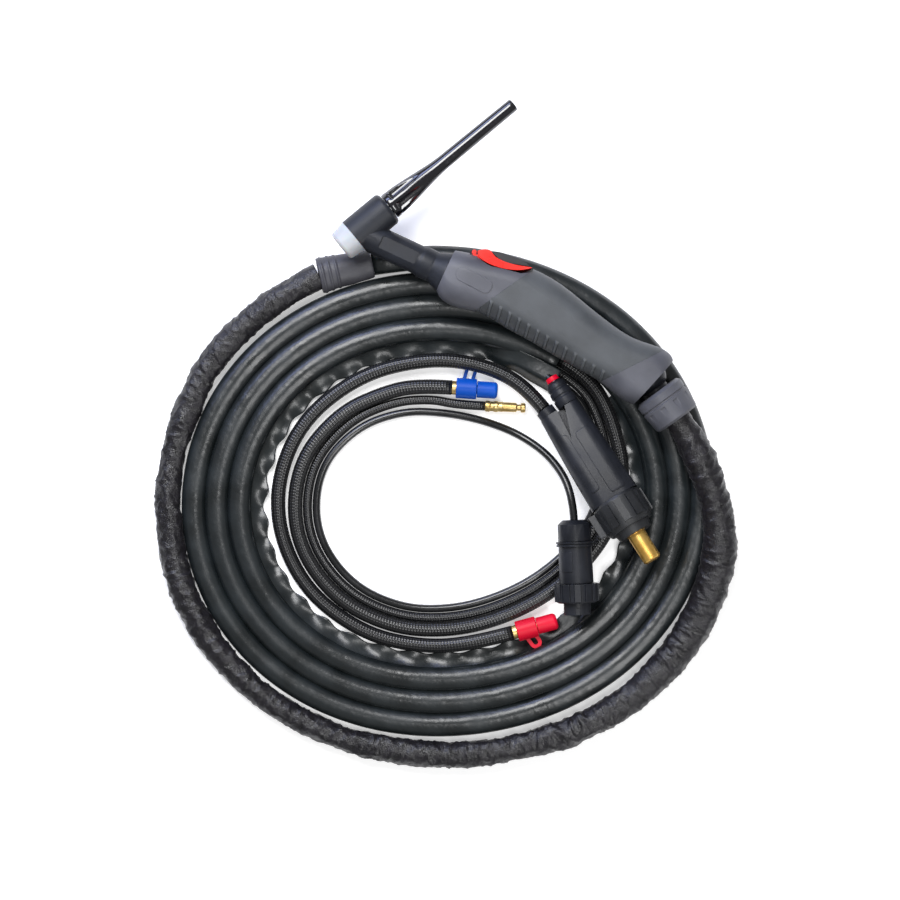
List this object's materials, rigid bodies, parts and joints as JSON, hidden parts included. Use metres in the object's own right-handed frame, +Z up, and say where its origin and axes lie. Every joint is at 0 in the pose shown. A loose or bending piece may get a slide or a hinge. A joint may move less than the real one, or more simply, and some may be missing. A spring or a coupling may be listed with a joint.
{
  "type": "tig welding torch",
  "caption": "Water-cooled TIG torch with long back cap, side trigger and ball knuckle, on a coiled covered lead that ends in a power plug, control plug, capped water hoses and a gas nipple.",
  "frame": {"origin": "Centre of the open mouth of the nose insulator at the end of the torch head.", "axes": "+X runs along the neck from the head towards the lead, +Z points up from the surface that the coiled lead lies on, and +Y is the side that the trigger and the back cap are on."},
  "size_m": [0.4083, 0.465, 0.0537],
  "materials": {
    "white_insulator": "smooth, slightly translucent",
    "brass": "turned, bright",
    "head_black": "moulded, satin",
    "cap_black": "polished",
    "seal": "soft",
    "handle_grey": "fine texture",
    "grip_rubber": "soft, matt",
    "trigger_red": "smooth",
    "pad_dark": "soft, matt",
    "steel": "plated",
    "switch_black": "moulded",
    "knuckle_black": "moulded, satin",
    "leather": "soft, low sheen",
    "sleeve_rubber": "satin",
    "hose_black": "smooth",
    "plug_black": "moulded, satin",
    "plug_ring": "firm",
    "blue": "smooth",
    "red": "smooth"
  },
  "bodies": {
    "lead": {"knuckle_ball": "knuckle_black", "leather_cover": "leather", "joint_sleeve": "hose_black", "rubber_sleeve": "sleeve_rubber", "sleeve_flap": "sleeve_rubber", "power_cable": "hose_black", "water_in_hose": "hose_black", "gas_hose": "hose_black", "switch_cable": "hose_black", "return_hose": "hose_black", "power_plug_body": "plug_black", "power_plug_ring": "plug_ring", "power_pin": "brass", "control_plug_body": "plug_black", "control_insert": "switch_black", "control_pins": "brass", "water_in_ferrule": "brass", "water_in_nipple": "brass", "water_in_cap_collar": "blue", "water_in_cap": "blue", "return_ferrule": "brass", "return_nipple": "brass", "return_cap_collar": "red", "gas_ferrule": "brass", "gas_nipple": "brass"},
    "knuckle": {"knuckle_liner": "knuckle_black"},
    "torch": {"nose_insulator": "white_insulator", "torch_body": "brass", "neck_tubes": "brass", "head_cover": "head_black", "handle_half_upper": "handle_grey", "handle_half_lower": "handle_grey", "grip": "grip_rubber", "handle_screws": "steel", "trigger_pin": "steel", "microswitch": "switch_black"},
    "trigger": {"trigger": "trigger_red", "trigger_pad": "pad_dark"},
    "plunger": {"switch_plunger": "switch_black"},
    "seal": {"cap_seal": "seal"},
    "back_cap": {"back_cap": "cap_black"},
    "ring_nut": {"ring_nut": "knuckle_black"},
    "cable_nut": {"power_cable_nut": "plug_black"},
    "gland_nut": {"control_gland_nut": "plug_black"},
    "coupling_ring": {"control_coupling_ring": "plug_black"},
    "red_cap": {"return_cap": "red"}
  },
  "joints": [
    {"name": "knuckle_swing", "type": "hinge", "parent": "lead", "child": "knuckle", "pos_m": [0.2315, 0.0081, 0], "axis": [0, 0, 1], "range_deg": [-28, 4]},
    {"name": "knuckle_lift", "type": "hinge", "parent": "knuckle", "child": "torch", "pos_m": [0.2315, 0.0081, 0], "axis": [0.2957, 0.9553, 0], "range_deg": [0, 12]},
    {"name": "trigger_squeeze", "type": "hinge", "parent": "torch", "child": "trigger", "pos_m": [0.091, 0.0296, 0], "axis": [0, 0, -1], "range_deg": [0, 2.4], "stiffness_Nm_per_rad": 0.6, "springref_deg": -5.73},
    {"name": "switch_press", "type": "slide", "parent": "torch", "child": "plunger", "axis": [0, -1, 0], "range_m": [0, 0.00092]},
    {"name": "cap_advance", "type": "slide", "parent": "torch", "child": "seal", "axis": [0.4305, 0.9026, 0], "range_m": [0, 0.00634]},
    {"name": "cap_turn", "type": "hinge", "parent": "seal", "child": "back_cap", "pos_m": [0.01886, 0.03953, 0], "axis": [0.4305, 0.9026, 0], "range_deg": [0, 1800]},
    {"name": "ring_nut_turn", "type": "hinge", "parent": "lead", "child": "ring_nut", "pos_m": [0.25337, -0.00402, 0], "axis": [0.8746, -0.4848, 0], "continuous": true},
    {"name": "cable_nut_turn", "type": "hinge", "parent": "lead", "child": "cable_nut", "pos_m": [0.18272, -0.02689, -0.01686], "axis": [-0.8214, 0.5416, -0.1788], "continuous": true},
    {"name": "gland_nut_turn", "type": "hinge", "parent": "lead", "child": "gland_nut", "pos_m": [0.23129, -0.10993, -0.0069], "axis": [0.4555, -0.8902, 0], "continuous": true},
    {"name": "coupling_ring_turn", "type": "hinge", "parent": "lead", "child": "coupling_ring", "pos_m": [0.25138, -0.14919, -0.0069], "axis": [0.4555, -0.8902, 0], "continuous": true},
    {"name": "red_cap_pull", "type": "slide", "parent": "lead", "child": "red_cap", "axis": [0.7627, 0.6468, 0], "range_m": [0, 0.008]}
  ],
  "couplings": [
    {"joint": "switch_press", "follows": "trigger_squeeze", "m_per_rad": 0.021},
    {"joint": "cap_turn", "follows": "cap_advance", "rad_per_m": 4950}
  ]
}
